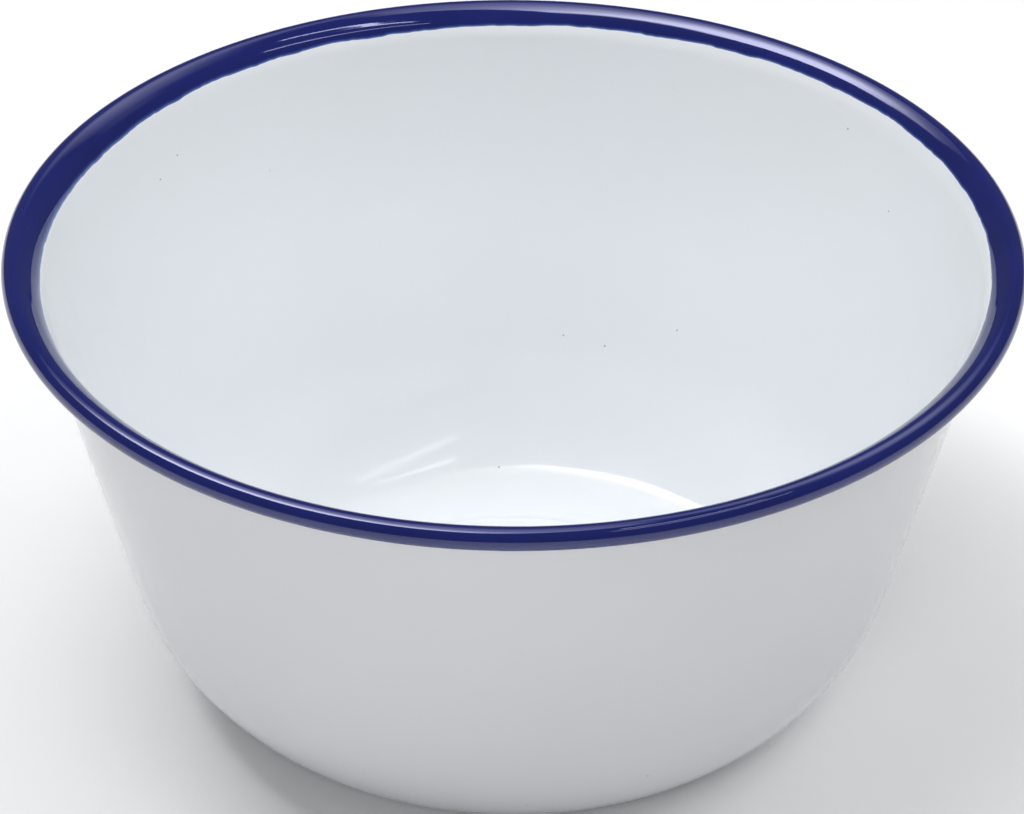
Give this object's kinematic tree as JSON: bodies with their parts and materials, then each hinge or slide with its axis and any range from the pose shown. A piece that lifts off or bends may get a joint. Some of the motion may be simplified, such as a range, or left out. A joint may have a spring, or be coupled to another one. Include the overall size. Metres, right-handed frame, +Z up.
{
  "type": "enamelled steel basin",
  "caption": "Low round enamelled steel basin with a rounded bottom, a flaring wall and a rolled rim in a contrasting colour.",
  "frame": {"origin": "middle of the base, on the surface the basin stands on", "axes": "+Z up, along the axis the basin is turned about; +X and +Y are any two level directions, because the basin is round"},
  "size_m": [0.16, 0.16, 0.0769],
  "materials": {
    "steel": "as pressed, pickled",
    "ground_enamel": "fused, dark",
    "white_enamel": "fused, glossy",
    "blue_enamel": "fused, glossy"
  },
  "bodies": {
    "root": {"steel_body": "steel", "ground_coat_inside": "ground_enamel", "ground_coat_outside": "ground_enamel", "white_enamel_inside": "white_enamel", "white_enamel_outside": "white_enamel", "blue_rim_enamel": "blue_enamel"}
  },
  "joints": []
}
